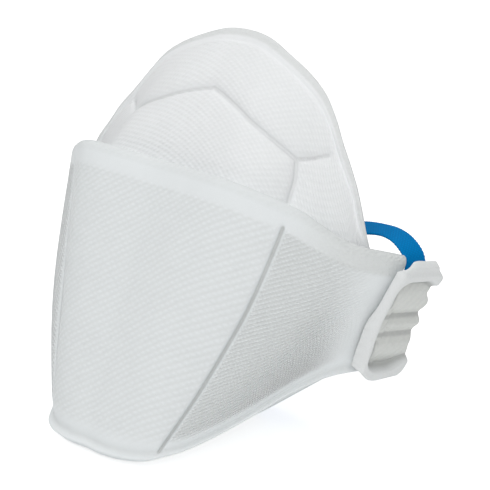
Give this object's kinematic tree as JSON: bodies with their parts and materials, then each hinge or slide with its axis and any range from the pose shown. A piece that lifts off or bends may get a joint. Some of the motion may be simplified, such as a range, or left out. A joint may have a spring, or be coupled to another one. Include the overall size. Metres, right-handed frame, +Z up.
{
  "type": "disposable respirator mask",
  "caption": "Fold-flat disposable respirator, opened: embossed white front, nose and chin panels, ribbed side tabs and a blue elastic head strap.",
  "frame": {"origin": "on the floor, under the middle of the bounding box", "axes": "+Z up, +X towards the wearer's left ear, +Y towards the wearer's face; the front of the mask faces -Y"},
  "size_m": [0.167, 0.0816, 0.1284],
  "materials": {
    "filter_fabric": "matt white nonwoven with a fine embossed waffle pattern, smooth welded edges",
    "tab_fabric": "matt white welded nonwoven, ribbed",
    "elastic_strap": "blue braided elastic, matt"
  },
  "bodies": {
    "root": {"front_panel": "filter_fabric", "nose_panel": "filter_fabric", "chin_panel": "filter_fabric", "side_tab_right": "tab_fabric", "side_tab_left": "tab_fabric", "head_strap": "elastic_strap"}
  },
  "joints": []
}
